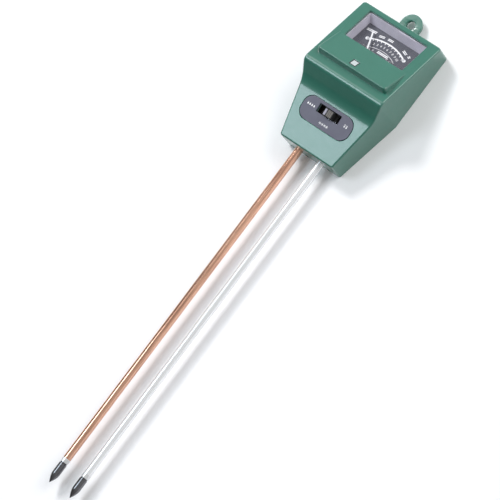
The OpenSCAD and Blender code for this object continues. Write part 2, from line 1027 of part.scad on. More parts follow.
// Two axial resistors under the board
module resistors() {
    body_z = board_top - board_t - resistor_drop;
    wire_r = resistor_wire_r;
    color([0.82, 0.68, 0.48])
        on_lower_face()
            for (side = [-1, 1])
                translate([side * resistor_x, resistor_mid, body_z]) {
                    rotate([0, 90, 0]) {
                        cylinder(r = resistor_r, h = resistor_len, center = true);
                        cylinder(r = wire_r, h = resistor_pitch + 2 * wire_r, center = true);
                    }
                    both_sides()
                        rod(wire_r, -wire_r, resistor_drop + board_t + wire_r,
                            resistor_pitch / 2, 0);
                }
}

// ---- Probes ----

// Frame of a probe: the origin is on its axis at the head's base, +Z runs out to the tip
module on_probe(side) {
    translate([side * probe_pitch / 2, base_y, probe_z])
        rotate([90, 0, 0])
            children();
}

module probe_tube(side) {
    inner = base_y - probe_inner_end;
    on_probe(side)
        difference() {
            union() {
                rod(probe_inner_r, inner, -inner);
                rod(probe_r, 0, probe_len - tip_len);
            }
            rod(probe_bore_r, inner - past, probe_len - tip_len - inner + 2 * past);
        }
}

// A turned tip: a spigot in the tube, a thin neck, a round body and a curved nose
module probe_tip(side) {
    shoulder = probe_len - tip_len;
    nose_start = probe_len - tip_nose;
    nose = [
        for (i = [0 : 8])
            let (s = i / 8)
                [probe_r * (1 - pow(s, nose_power)), nose_start + tip_nose * s]
    ];
    on_probe(side)
        rotate_extrude()
            polygon(concat(
                [
                    [0, shoulder - spigot_len],
                    [probe_bore_r, shoulder - spigot_len],
                    [probe_bore_r, shoulder],
                    [tip_neck_r, shoulder],
                    [tip_neck_r, shoulder + tip_neck],
                    [probe_r, shoulder + tip_neck]
                ],
                nose
            ));
}

// A crimped ring on the probe's inner end with a solder tab
module probe_tag(side) {
    inner = base_y - probe_inner_end;
    color([0.80, 0.80, 0.76])
        on_probe(side)
            difference() {
                union() {
                    rod(probe_inner_r + tag_t, inner, tag_len);
                    block(tab_out, tab_h, inner, tag_len, side * tab_out, -tab_h / 2);
                }
                rod(probe_inner_r, inner - past, tag_len + 2 * past);
            }
}

module copper_probe() {
    color([0.74, 0.50, 0.38])
        probe_tube(-1);
}

module zinc_probe() {
    color([0.88, 0.89, 0.90])
        probe_tube(1);
}

module copper_probe_tip() {
    color([0.20, 0.20, 0.21])
        probe_tip(-1);
}

module zinc_probe_tip() {
    color([0.20, 0.20, 0.21])
        probe_tip(1);
}

module copper_probe_tag() {
    probe_tag(-1);
}

module zinc_probe_tag() {
    probe_tag(1);
}

// ---- Leads ----

module copper_probe_lead() {
    color("red")
        wire(COPPER_PROBE_ROUTE, lead_r);
}

module zinc_probe_lead() {
    color("black")
        wire(ZINC_PROBE_ROUTE, lead_r);
}

module meter_lead_plus() {
    color("red")
        wire(METER_PLUS_ROUTE, lead_r);
}

module meter_lead_minus() {
    color("black")
        wire(METER_MINUS_ROUTE, lead_r);
}

module cell_lead_plus() {
    color("yellow")
        wire(CELL_PLUS_ROUTE, lead_r);
}

module cell_lead_minus() {
    color("white")
        wire(CELL_MINUS_ROUTE, lead_r);
}

front_housing();
back_cover();
dial_surround();
dial_window();
sensor_window();
photocell();
dial_plate();
dial_screws();
needle_stops();
movement_frame();
movement_screws();
yoke_ring();
core_magnet();
front_bridge();
back_bridge();
bridge_screws();
front_jewel_screw();
back_jewel_screw();
front_spring_arm();
back_spring_arm();
front_hairspring();
back_hairspring();
moving_coil();
coil_pivots();
needle();
counterweight();
switch_plate();
switch_case();
switch_base();
switch_terminals();
switch_knob();
switch_contacts();
circuit_board();
board_screws();
resistors();
copper_probe();
zinc_probe();
copper_probe_tip();
zinc_probe_tip();
copper_probe_tag();
zinc_probe_tag();
copper_probe_lead();
zinc_probe_lead();
meter_lead_plus();
meter_lead_minus();
cell_lead_plus();
cell_lead_minus();
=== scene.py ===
import json
import math

import bmesh
import bpy
from mathutils import Matrix, Vector


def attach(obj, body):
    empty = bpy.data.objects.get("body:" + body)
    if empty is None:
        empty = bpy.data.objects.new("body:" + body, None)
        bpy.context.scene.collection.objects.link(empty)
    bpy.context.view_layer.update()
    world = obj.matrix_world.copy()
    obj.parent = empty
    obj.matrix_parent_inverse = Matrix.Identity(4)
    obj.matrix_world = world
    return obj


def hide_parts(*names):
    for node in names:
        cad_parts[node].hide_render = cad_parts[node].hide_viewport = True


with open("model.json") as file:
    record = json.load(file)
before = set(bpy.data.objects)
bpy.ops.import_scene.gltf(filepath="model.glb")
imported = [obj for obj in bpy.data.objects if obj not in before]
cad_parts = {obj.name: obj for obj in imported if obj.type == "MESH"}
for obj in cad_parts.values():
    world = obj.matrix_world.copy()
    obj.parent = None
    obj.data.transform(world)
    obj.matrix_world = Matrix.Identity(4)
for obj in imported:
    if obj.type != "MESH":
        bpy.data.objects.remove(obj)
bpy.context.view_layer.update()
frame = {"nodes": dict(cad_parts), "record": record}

# The imported CAD nodes, by name.
cad = frame["nodes"]

# ---------------------------------------------------------------- sizes, in millimetres

MM = 0.001
PAST = 1.0              # how far a cutter reaches past what it cuts
OVER = 3.0              # how far an opening's cutter reaches above the face it opens

HEAD_W = 50.0
HEAD_LEN = 79.0
BASE_W = 34.0
TOP_T = 12.0
RIDGE_T = 28.0
BASE_T = 14.0
WALL = 2.0
CAVITY_LOW = -5.0
CAVITY_EDGE_R = 0.3
BASE_Y = -HEAD_LEN / 2
TOP_Y = HEAD_LEN / 2
KNEE_Y = BASE_Y + 36
RIDGE_Y = BASE_Y + 37
HOLLOW_Y = BASE_Y + 28.75
HOLLOW_T = BASE_T + 5.2
FRONT_EDGE_R = 0.9
BACK_EDGE_R = 0.35
TOP_EDGE_R = 0.9
RIDGE_R = 3.4
HOLLOW_R = 13.0
BASE_EDGE_R = 1.0
TOP_CORNER_R = 1.6
KNEE_R = 6.0
BASE_CORNER_R = 1.4

COVER_T = 2.2
COVER_INSET = 1.1
COVER_LOW_R = 0.35
COVER_HIGH_R = 0.1
STEP_INSET = 1.0
PANEL_W = 22.0          # the shallow panel in the cover's outer face
PANEL_LEN = 34.0
PANEL_CORNER = 3.0
PANEL_DEPTH = 0.25
PANEL_FLARE = 0.3
PANEL_MID = 6.0
MOULD_MARK_R = 1.6
MOULD_MARK_DEPTH = 0.15
MOULD_MARK_IN = (0.9, 0.92)     # the marks' places, as shares of the pegs'

LOOP_Y = TOP_Y + 3.3
LOOP_Z = 2.3
LOOP_T = 2.3
LOOP_R = 5.98
LOOP_HOLE_R = 2.4
LOOP_EDGE_R = 0.45
LOOP_ROOT = 1.2         # how deep the loop is rooted in the top wall

# posts inside the housing: for the cover's pegs, the movement and the circuit board
PEGS = [(21.3, 33.0), (-21.3, 33.0), (12.9, -34.5), (-12.9, -34.5)]
POST_R = 1.9
POST_SUNK = 0.9         # from a post's far end to the housing's outer surface
PEG_R = 1.0
PEG_TIP_R = 0.7
PEG_TOP = 6.9
PEG_TAPER = 0.3
PEG_ROOT = 0.5          # how deep a peg is rooted in the cover
PEG_HOLE_TOP = 5.0
EAR_X = 18.0
EAR_LOW = -16.8
EAR_SCREW_R = 0.9
EAR_SCREW_TOP = -10.8
BOARD_X = 13.0
BOARD_POST_R = 2.0
BOARD_LOW = -7.0
BOARD_SCREW_R = 0.8
BOARD_SCREW_TOP = -3.5

WINDOW_W = 37.0
WINDOW_H = 19.4
WINDOW_V = 2.8
WINDOW_CORNER = 0.6
WINDOW_LIP = 0.3
WINDOW_LOW = -6.0       # where its cutter starts, below the dial face
HOOD_TOP = WINDOW_V + WINDOW_H
HOOD_LEN = 16.6
HOOD_W = 44.4
HOOD_RISE = 3.5
HOOD_CORNER_R = 1.6
HOOD_EDGE_R = 0.8
HOOD_WALL = 1.8
HOOD_BACK_R = 0.5
HOOD_ROOT = -6.0        # where the hood's form starts, below the dial face
HOOD_FLANK = 2.6        # the flanks start to lean this far below the hood's top
HOOD_LEAN = 0.3
SENSOR = 4.0
SENSOR_CORNER = 0.25
SENSOR_LIP = 0.15
SENSOR_LOW = -4.0
SENSOR_X = -1.0
SENSOR_DOWN = 12.6
SENSOR_SUNK = 0.2
SENSOR_CLEAR = 3.1

DIAL_TOP = -6.5
PIVOT_V = 32.5
NEEDLE_REST = 26.0
NEEDLE_LEN = 26.0
NEEDLE_Z = -4.9
NEEDLE_T = 0.3
NEEDLE_TAIL = 6.4
NEEDLE_POINT = 0.8
HUB_R = 1.4
HUB_BORE_R = 0.47

PLATE_W = 31.0
PLATE_H = 12.6
PLATE_CORNER = 5.2
PLATE_POCKET = 0.7
PLATE_T = 0.8
PLATE_MID = 19.0
PLATE_GAP = 0.15
POCKET_LIP = 0.2
SLOT_MID = 21.4
SLOT_W = 13.8
SLOT_H = 4.5
SLOT_CORNER = 0.3
SLOT_GAP = 0.4
SLOT_LOW = -4.0
KNOB_W = 6.0
KNOB_H = 3.9
KNOB_TOP_W = 3.6
KNOB_RISE = 1.7
KNOB_CORNER = 0.5
RIB_PITCH = 0.95
RIB_W = 0.7
RIB_RISE = 0.06
SLIDER_TOP = -2.6
SLIDER_T = 1.6
SLIDER_W = 9.0
SLIDER_H = 6.4
SLIDER_CORNER = 0.4

PROBE_X = 7.0
PROBE_Z = 6.2
PROBE_R = 2.1
PROBE_INNER_R = 1.9
PROBE_BORE_R = 1.6
PROBE_IN = 12.0
PROBE_LEN = 204.0
TIP_LEN = 12.0
TIP_NOSE = 5.5
TIP_SPIGOT = 8.0
TIP_SHOULDER_R = PROBE_R - 0.25
TIP_BLUNTNESS = 1.7     # above 1, the nose is rounder
RING_LEN = 2.4
SLEEVE_R = 3.4
SLEEVE_IN = 9.5

DIAL_TILT = math.atan2(RIDGE_T - TOP_T, TOP_Y - RIDGE_Y)
LOWER_TILT = math.atan2(HOLLOW_T - BASE_T, HOLLOW_Y - BASE_Y)
HOOD_TILT = math.atan2(HOOD_RISE, HOOD_LEN)

# ---------------------------------------------------------------- frames on the head


def moved(x, y, z):
    return Matrix.Translation((x, y, z))


def turned(angle, axis):
    return Matrix.Rotation(angle, 4, axis)


HEAD = Matrix.Identity(4)
DIAL = moved(0, TOP_Y, TOP_T) @ turned(-DIAL_TILT, "X")
HOOD = DIAL @ moved(0, -HOOD_TOP, 0) @ turned(-HOOD_TILT, "X")
MOVEMENT = DIAL @ moved(0, -PIVOT_V, 0)
NEEDLE = MOVEMENT @ turned(math.radians(NEEDLE_REST), "Z")
LOWER = moved(0, BASE_Y, BASE_T) @ turned(LOWER_TILT, "X")


def probe_frame(side):
    return moved(side * PROBE_X, BASE_Y, PROBE_Z) @ turned(math.radians(90), "X")


# ---------------------------------------------------------------- outlines


def rounded(corners, steps=8):
    """Points of a closed outline whose corners (x, y, radius) are rounded by arcs."""
    points = []
    count = len(corners)
    for i, (bx, by, radius) in enumerate(corners):
        b = Vector((bx, by))
        a = Vector(corners[i - 1][:2])
        c = Vector(corners[(i + 1) % count][:2])
        u = (b - a).normalized()
        v = (c - b).normalized()
        if radius <= 0:
            points.append(b)
            continue
        turn = math.atan2(u.x * v.y - u.y * v.x, u.dot(v))
        side = math.copysign(1, turn)
        start = b - u * radius * math.tan(abs(turn) / 2)
        middle = start + Vector((-u.y, u.x)) * radius * side
        for k in range(steps + 1):
            points.append(middle + Matrix.Rotation(turn * k / steps, 2) @ (start - middle))
    return points


LEAST_R = 0.03          # what is left of a round corner that is moved inwards past its radius


def inset(corners, d):
    """The counter-clockwise corners moved inwards by d."""
    result = []
    count = len(corners)
    for i, (bx, by, radius) in enumerate(corners):
        b = Vector((bx, by))
        u = (b - Vector(corners[i - 1][:2])).normalized()
        v = (Vector(corners[(i + 1) % count][:2]) - b).normalized()
        turn = u.x * v.y - u.y * v.x
        p = b + Vector((-u.y, u.x)) * d
        q = b + Vector((-v.y, v.x)) * d
        along = ((q - p).x * v.y - (q - p).y * v.x) / turn
        point = p + u * along
        least = LEAST_R if radius > 0 else 0
        grown = max(radius - d, least) if turn > 0 else radius + d
        result.append((point.x, point.y, grown))
    return result


def box_corners(w, h, r, x=0.0, y=0.0):
    """Corners of a w by h rectangle round (x, y), with the radius r."""
    return [
        (x - w / 2, y - h / 2, r),
        (x + w / 2, y - h / 2, r),
        (x + w / 2, y + h / 2, r),
        (x - w / 2, y + h / 2, r),
    ]


PLAN = [
    (-BASE_W / 2, BASE_Y, BASE_CORNER_R),
    (BASE_W / 2, BASE_Y, BASE_CORNER_R),
    (HEAD_W / 2, KNEE_Y, KNEE_R),
    (HEAD_W / 2, TOP_Y, TOP_CORNER_R),
    (-HEAD_W / 2, TOP_Y, TOP_CORNER_R),
    (-HEAD_W / 2, KNEE_Y, KNEE_R),
]
SIDE_LOW = -10.0        # the side outline starts well below the back face
SIDE = [
    (BASE_Y, SIDE_LOW, 0),
    (TOP_Y, SIDE_LOW, 0),
    (TOP_Y, TOP_T, TOP_EDGE_R),
    (RIDGE_Y, RIDGE_T, RIDGE_R),
    (HOLLOW_Y, HOLLOW_T, HOLLOW_R),
    (BASE_Y, BASE_T, BASE_EDGE_R),
]

# ---------------------------------------------------------------- mesh making

SMOOTH_ANGLE = math.radians(32)
FLAT_WEIGHT = 80        # how much large faces weigh in the shading of their edges
WELD = 1e-7             # metres


def weld(mesh, normals=False):
    """Joins vertices that lie on each other, so that no face is without an area."""
    work = bmesh.new()
    work.from_mesh(mesh)
    bmesh.ops.remove_doubles(work, verts=work.verts, dist=WELD)
    if normals:
        bmesh.ops.recalc_face_normals(work, faces=work.faces)
    work.to_mesh(mesh)
    work.free()


def finish_mesh(obj):
    """Smooth shading that keeps the sharp edges and keeps the flat faces flat."""
    weld(obj.data)
    for p in obj.data.polygons:
        p.use_smooth = True
    obj.data.set_sharp_from_angle(angle=SMOOTH_ANGLE)
    weigh = obj.modifiers.new("flat_faces", "WEIGHTED_NORMAL")
    weigh.keep_sharp = True
    weigh.weight = FLAT_WEIGHT
    return obj


def solid(name, points, faces, where=HEAD):
    """A new object from points in millimetres in the frame `where`."""
    mesh = bpy.data.meshes.new(name)
    mesh.from_pydata([(where @ Vector(p)) * MM for p in points], [], faces)
    weld(mesh, normals=True)
    obj = bpy.data.objects.new(name, mesh)
    bpy.context.scene.collection.objects.link(obj)
    return obj


def loft(name, rings, where=HEAD):
    """A closed solid through rings that all have the same number of points."""
    size = len(rings[0])
    points = [p for ring in rings for p in ring]
    faces = []
    for i in range(len(rings) - 1):
        for k in range(size):
            n = (k + 1) % size
            faces.append((i * size + k, i * size + n, (i + 1) * size + n, (i + 1) * size + k))
    faces.append(tuple(reversed(range(size))))
    faces.append(tuple((len(rings) - 1) * size + k for k in range(size)))
    return solid(name, points, faces, where)


def slab(name, corners, levels, where=HEAD, steps=8):
    """A plate through levels (z, inset) of one outline, for rounded or flared edges."""
    rings = []
    for z, d in levels:
        rings.append([(p.x, p.y, z) for p in rounded(inset(corners, d), steps)])
    return loft(name, rings, where)


def edge_levels(low, high, r_low, r_high, steps=4):
    """Levels of a plate from low to high whose two edges are rounded by r_low and r_high."""
    levels = sorted(
        (low + r_low * (1 - math.cos(math.pi / 2 * k / steps)),
         r_low * (1 - math.sin(math.pi / 2 * k / steps)))
        for k in range(steps + 1)
    )
    for k in range(steps + 1):
        a = math.pi / 2 * k / steps
        levels.append((high - r_high * (1 - math.sin(a)), r_high * (1 - math.cos(a))))
    return levels


def lathe(name, profile, where=HEAD, sides=64, closed=True):
    """A turned solid round z from (radius, z) pairs; a radius of zero closes it on the axis."""
    points = []
    faces = []
    starts = []
    for r, z in profile:
        starts.append(len(points))
        if r == 0:
            points.append((0, 0, z))
        else:
            for k in range(sides):
                a = 2 * math.pi * k / sides
                points.append((r * math.cos(a), r * math.sin(a), z))
    count = len(profile)
    for i in range(count if closed else count - 1):
        j = (i + 1) % count
        ra, rb = profile[i][0], profile[j][0]
        for k in range(sides):
            n = (k + 1) % sides
            a0 = starts[i] if ra == 0 else starts[i] + k
            a1 = starts[i] if ra == 0 else starts[i] + n
            b0 = starts[j] if rb == 0 else starts[j] + k
            b1 = starts[j] if rb == 0 else starts[j] + n
            face = []
            for v in (a0, a1, b1, b0):
                if v not in face:
                    face.append(v)
            if len(face) > 2:
                faces.append(tuple(face))
    return solid(name, points, faces, where)


def triangles(obj):
    """Splits the object's faces into triangles."""
    work = bmesh.new()
    work.from_mesh(obj.data)
    bmesh.ops.triangulate(work, faces=work.faces)
    work.to_mesh(obj.data)
    work.free()


def combined(target, other, operation):
    """Applies an exact boolean of the other object, which is then deleted."""
    triangles(target)
    triangles(other)
    step = target.modifiers.new("step", "BOOLEAN")
    step.operation = operation
    step.solver = "EXACT"
    step.object = other
    bpy.context.view_layer.update()
    view = bpy.context.evaluated_depsgraph_get()
    made = bpy.data.meshes.new_from_object(target.evaluated_get(view))
    target.modifiers.remove(step)
    old = target.data
    target.data = made
    bpy.data.meshes.remove(old)
    bpy.data.objects.remove(other)
    return target


def cut(target, *tools):
    """The target without the tools."""
    for tool in tools:
        combined(target, tool, "DIFFERENCE")
    return target


def fused(target, *others):
    """The target and the others as one solid."""
    for other in others:
        combined(target, other, "UNION")
    return target


def merged(name, objects):
    """One object that holds the meshes of several."""
    work = bmesh.new()
    for o in objects:
        work.from_mesh(o.data)
        bpy.data.objects.remove(o)
    mesh = bpy.data.meshes.new(name)
    work.to_mesh(mesh)
    work.free()
    obj = bpy.data.objects.new(name, mesh)
    bpy.context.scene.collection.objects.link(obj)
    return obj


# ---------------------------------------------------------------- the head's outer form


NEAR = 1e-6             # points of an outline closer than this are level with each other
LEAST_STEP = 0.02       # sections of the head closer than this are left out


def crossing(outline, at):
    """The outline's highest second coordinate where its first one is `at`."""
    found = []
    for i, b in enumerate(outline):
        a = outline[i - 1]
        if abs(a.x - b.x) < NEAR:
            if abs(a.x - at) < NEAR:
                found += [a.y, b.y]
        elif min(a.x, b.x) - NEAR <= at <= max(a.x, b.x) + NEAR:
            found.append(a.y + (b.y - a.y) * (at - a.x) / (b.x - a.x))
    return max(found)


def head_form(name, d, back, edge_r, back_r):
    """The head's form moved inwards by d, as rounded sections along its length."""
    plan = [Vector((p.y, p.x)) for p in rounded(inset(PLAN, d), 10)]
    side = rounded(inset(SIDE, d), 10)
    low, high = BASE_Y + d, TOP_Y - d
    stations = sorted({round(p.x, 3) for p in plan + side if low - 1e-3 <= p.x <= high + 1e-3})
    rings = []
    last = None
    for y in stations:
        if last is not None and y - last < LEAST_STEP:
            continue
        last = y
        at = min(max(y, low + 1e-4), high - 1e-4)
        w = crossing(plan, at)
        t = crossing(side, at)
        section = [(-w, back, back_r), (w, back, back_r), (w, t, edge_r), (-w, t, edge_r)]
        rings.append([(p.x, y, p.y) for p in rounded(section, 6)])
    return loft(name, rings)


def hood_form(name, d):
    """The wedge-shaped hood, moved inwards by d, from its root below the dial face."""
    slope = HOOD_RISE / HOOD_LEN
    edge_r = max(HOOD_EDGE_R - d, 0.3)
    corner_r = max(HOOD_CORNER_R - d, 0.4)
    w = HOOD_W - 2 * d
    rings = []

    def ring(grow, drop, flat=False):
        corners = [
            (-w / 2 - grow, -HOOD_LEN - grow + d, corner_r),
            (w / 2 + grow, -HOOD_LEN - grow + d, corner_r),
            (w / 2 + grow, 0, HOOD_BACK_R),
            (-w / 2 - grow, 0, HOOD_BACK_R),
        ]
        result = []
        for p in rounded(corners, 10):
            top = slope * max(-p.y, 0) - drop - d
            result.append((p.x, p.y, HOOD_ROOT if flat else top))
        rings.append(result)

    ring(0, 0, flat=True)
    ring(0, HOOD_FLANK)
    steps = 6
    for k in range(steps + 1):
        a = math.pi / 2 * k / steps
        ring(-HOOD_LEAN - edge_r * (1 - math.cos(a)), edge_r * (1 - math.sin(a)))
    return loft(name, rings, DIAL @ moved(0, -HOOD_TOP, 0))


def lip(name, w, h, r, low, high, flare, where, x=0.0, y=0.0, steps=4):
    """A cutter for an opening whose outer lip is rounded by `flare`."""
    corners = box_corners(w, h, r, x, y)
    levels = [(low, 0)]
    for k in range(steps + 1):
        a = math.pi / 2 * k / steps
        levels.append((-flare * math.cos(a), -flare * (1 - math.sin(math.pi / 2 - a))))
    levels.append((high, -flare))
    return slab(name, corners, levels, where)


def rod(name, r, low, high, where=HEAD, sides=32):
    """A cylinder of radius r from low to high."""
    return lathe(name, [(0, low), (r, low), (r, high), (0, high)], where, sides, closed=False)


def make_loop():
    """The flat hanging loop, whose root is buried in the head's top wall."""
    outline = [
        (-LOOP_R, TOP_Y - LOOP_ROOT, 0), (LOOP_R, TOP_Y - LOOP_ROOT, 0),
        (LOOP_R, LOOP_Y + LOOP_R, LOOP_R - 0.01), (-LOOP_R, LOOP_Y + LOOP_R, LOOP_R - 0.01),
    ]
    top = LOOP_Z + LOOP_T
    loop = slab("loop", outline, edge_levels(LOOP_Z, top, LOOP_EDGE_R, LOOP_EDGE_R), steps=24)
    wide = LOOP_HOLE_R + LOOP_EDGE_R
    profile = [(0, LOOP_Z - PAST), (wide, LOOP_Z - PAST)]
    for z, d in edge_levels(LOOP_Z, top, LOOP_EDGE_R, LOOP_EDGE_R):
        profile.append((LOOP_HOLE_R + d, z))
    profile += [(wide, top + PAST), (0, top + PAST)]
    return cut(loop, lathe("hole", profile, moved(0, LOOP_Y, 0), 64, closed=False))


def make_housing():
    """The head's shell with its hood, loop, posts, sleeves, bores and openings."""
    shell = head_form("housing", 0, 0, FRONT_EDGE_R, BACK_EDGE_R)
    fused(shell, hood_form("hood", 0), make_loop())
    cut(shell, head_form("cavity", WALL, CAVITY_LOW, CAVITY_EDGE_R, 0))
    cut(shell, hood_form("hood_cavity", HOOD_WALL))
    cut(shell, slab("cover_step", inset(PLAN, STEP_INSET), [(-PAST, 0), (COVER_T, 0)]))
    # posts for the cover's pegs, the movement and the circuit board, and the probe sleeves
    posts = []
    holes = []
    for x, y in PEGS:
        ceiling = TOP_T + (TOP_Y - y) * math.tan(DIAL_TILT) if y > 0 else BASE_T
        posts.append(rod("post", POST_R, COVER_T, ceiling - POST_SUNK, moved(x, y, 0)))
        holes.append(rod("hole", PEG_R, COVER_T - PAST, PEG_HOLE_TOP, moved(x, y, 0)))
    for side in (-1, 1):
        ear = MOVEMENT @ moved(side * EAR_X, 0, 0)
        posts.append(rod("post", POST_R, EAR_LOW, -POST_SUNK, ear))
        holes.append(rod("hole", EAR_SCREW_R, EAR_LOW - PAST, EAR_SCREW_TOP, ear))
        board = LOWER @ moved(side * BOARD_X, SLOT_MID, 0)
        posts.append(rod("post", BOARD_POST_R, BOARD_LOW, -POST_SUNK, board))
        holes.append(rod("hole", BOARD_SCREW_R, BOARD_LOW - PAST, BOARD_SCREW_TOP, board))
        posts.append(rod("sleeve", SLEEVE_R, -SLEEVE_IN, -POST_SUNK, probe_frame(side), 48))
        holes.append(rod("bore", PROBE_INNER_R, -SLEEVE_IN - PAST, PAST, probe_frame(side), 64))
    fused(shell, merged("posts", posts))
    cut(shell, merged("holes", holes))
    cut(shell, merged("openings", [
        lip("window", WINDOW_W, WINDOW_H, WINDOW_CORNER, WINDOW_LOW, OVER, WINDOW_LIP, DIAL,
            0, -WINDOW_V - WINDOW_H / 2),
        lip("sensor", SENSOR, SENSOR, SENSOR_CORNER, SENSOR_LOW, OVER, SENSOR_LIP, HOOD,
            SENSOR_X, -SENSOR_DOWN),
        lip("pocket", PLATE_W + 2 * PLATE_GAP, PLATE_H + 2 * PLATE_GAP, PLATE_CORNER,
            -PLATE_POCKET, OVER, POCKET_LIP, LOWER, 0, PLATE_MID),
    ]))
    slot = box_corners(SLOT_W + SLOT_GAP, SLOT_H + SLOT_GAP, SLOT_CORNER, 0, SLOT_MID)
    cut(shell, slab("slot", slot, [(SLOT_LOW, 0), (OVER, 0)], LOWER))
    return finish_mesh(shell)


def make_cover():
    """The flat plate in the open back, with its pegs, mould marks and shallow panel."""
    cover = slab("cover", inset(PLAN, COVER_INSET),
                 edge_levels(0, COVER_T, COVER_LOW_R, COVER_HIGH_R))
    root = COVER_T - PEG_ROOT
    profile = [
        (0, root), (PEG_R, root), (PEG_R, PEG_TOP - PEG_TAPER), (PEG_TIP_R, PEG_TOP), (0, PEG_TOP),
    ]
    pegs = [lathe("peg", profile, moved(x, y, 0), 32, closed=False) for x, y in PEGS]
    marks = []
    for x, y in PEGS:
        spot = moved(x * MOULD_MARK_IN[0], y * MOULD_MARK_IN[1], 0)
        marks.append(rod("mark", MOULD_MARK_R, -PAST, MOULD_MARK_DEPTH, spot))
    panel = slab("panel", box_corners(PANEL_W, PANEL_LEN, PANEL_CORNER, 0, PANEL_MID),
                 [(-PAST, -PANEL_FLARE), (0, -PANEL_FLARE), (PANEL_DEPTH, 0)])
    cut(cover, merged("marks", marks), panel)
    return finish_mesh(fused(cover, merged("pegs", pegs)))


# ---------------------------------------------------------------- dial and switch pieces


def strip(name, points, width, low, high, where):
    """A flat printed line of even width through points."""
    left, right = [], []
    for i, p in enumerate(points):
        a = Vector(points[max(i - 1, 0)])
        b = Vector(points[min(i + 1, len(points) - 1)])
        d = (b - a).normalized()
        n = Vector((-d.y, d.x)) * width / 2
        left.append(Vector(p) + n)
        right.append(Vector(p) - n)
    loop = left + right[::-1]
    count = len(points)
    verts = [(p.x, p.y, low) for p in loop] + [(p.x, p.y, high) for p in loop]
    size = len(loop)
    faces = []
    for i in range(count - 1):
        j = size - 1 - i
        faces.append((i, j, j - 1, i + 1))
        faces.append((size + i, size + i + 1, size + j - 1, size + j))
    for i in range(size):
        n = (i + 1) % size
        faces.append((i, n, size + n, size + i))
    return solid(name, verts, faces, where)


def arc_point(radius, angle):
    """A point of an arc round the needle's axis; angle in degrees to the left of straight up."""
    a = math.radians(angle)
    return (-radius * math.sin(a), radius * math.cos(a))


def arc_points(radius, start, end, steps):
    """Points of an arc round the needle's axis, from one angle to another."""
    return [arc_point(radius, start + (end - start) * k / steps) for k in range(steps + 1)]


def number(text, size, place, angle, low, high, where):
    """A printed number, centred at place and turned by angle degrees."""
    curve = bpy.data.curves.new("number", "FONT")
    curve.body = text
    curve.size = size
    curve.align_x = "CENTER"
    curve.align_y = "CENTER"
    curve.extrude = (high - low) / 2
    curve.resolution_u = 3
    holder = bpy.data.objects.new("number", curve)
    bpy.context.scene.collection.objects.link(holder)
    bpy.context.view_layer.update()
    view = bpy.context.evaluated_depsgraph_get()
    mesh = bpy.data.meshes.new_from_object(holder.evaluated_get(view))
    bpy.data.objects.remove(holder)
    spot = moved(place[0], place[1], (low + high) / 2) @ turned(math.radians(angle), "Z")
    mesh.transform(Matrix.Scale(MM, 4) @ where @ spot)
    weld(mesh)
    obj = bpy.data.objects.new("number", mesh)
    bpy.context.scene.collection.objects.link(obj)
    return obj


PRINT_T = 0.04
SCALE_R = 22.5          # the thick arc
SCALE_END = 31.7        # its ends, in degrees to each side
SCALE_W = 0.85
SCALE_DOT = 0.95
THIN_ARCS = [(17.2, 31, 40), (13.6, 26, 32)]    # radius, end in degrees and steps
THIN_W = 0.22
TICK_R = (21.3, 22.3)
TICK_FIRST = 29.0
TICK_STEP = 5.8
TICK_W = 0.4
NUMBER_R = 19.4
NUMBER_SIZE = 1.9
LOW_NUMBER_R = 15.4
LOW_NUMBER_FIRST = 24.0
LOW_NUMBER_STEP = 6.9
LOW_NUMBER_SIZE = 1.5
BAR_RISE = 0.8          # from one bar of a pair to the other
CURVED_BARS = [(15, 3.6, 24.6), (3.5, 3.6, 24.6), (-21, 3.4, 24.6), (-29, 1.6, 25.2)]
CURVED_BAR_W = 0.5
STRAIGHT_BARS = [((-15.9, 23.4), (-10.2, 24.0)), ((-2.2, 15.2), (4.4, 15.2))]
STRAIGHT_BAR_W = 0.55


def make_dial_marks():
    """Arcs, ticks, numbers and small bars printed on the dial plate."""
    low, high = DIAL_TOP, DIAL_TOP + PRINT_T
    made = []

    def line(points, width):
        made.append(strip("line", points, width, low, high, MOVEMENT))

    line(arc_points(SCALE_R, SCALE_END, -SCALE_END, 48), SCALE_W)
    for end in (-SCALE_END, SCALE_END):
        spot = MOVEMENT @ moved(*arc_point(SCALE_R, end), 0)
        made.append(rod("dot", SCALE_DOT, low, high, spot, 20))
    for radius, end, steps in THIN_ARCS:
        line(arc_points(radius, end, -end, steps), THIN_W)
    for k in range(11):
        angle = TICK_FIRST - TICK_STEP * k
        line([arc_point(r, angle) for r in TICK_R], TICK_W)
    for k in range(10):
        angle = TICK_FIRST - TICK_STEP * (k + 0.5)
        place = arc_point(NUMBER_R, angle)
        made.append(number(str(k + 1), NUMBER_SIZE, place, angle, low, high, MOVEMENT))
    for k in (0, 1, 6, 7):
        angle = LOW_NUMBER_FIRST - LOW_NUMBER_STEP * k
        place = arc_point(LOW_NUMBER_R, angle)
        made.append(number(str(8 - k), LOW_NUMBER_SIZE, place, angle, low, high, MOVEMENT))
    # pairs of bars: curved ones above the thick arc, straight ones beside and below it
    for rise in (0, BAR_RISE):
        for middle, reach, radius in CURVED_BARS:
            line(arc_points(radius + rise, middle + reach, middle - reach, 8), CURVED_BAR_W)
        for (x0, y0), (x1, y1) in STRAIGHT_BARS:
            line([(x0, y0 + rise), (x1, y1 + rise)], STRAIGHT_BAR_W)
    return made


def sun(place, size, low, high):
    """A disc with eight rays."""
    made = [rod("sun", size * 0.42, low, high, LOWER @ moved(place[0], place[1], 0), 20)]
    for k in range(8):
        a = 2 * math.pi * k / 8
        near = (place[0] + size * 0.6 * math.cos(a), place[1] + size * 0.6 * math.sin(a))
        far = (place[0] + size * math.cos(a), place[1] + size * math.sin(a))
        made.append(strip("ray", [near, far], size * 0.2, low, high, LOWER))
    return made


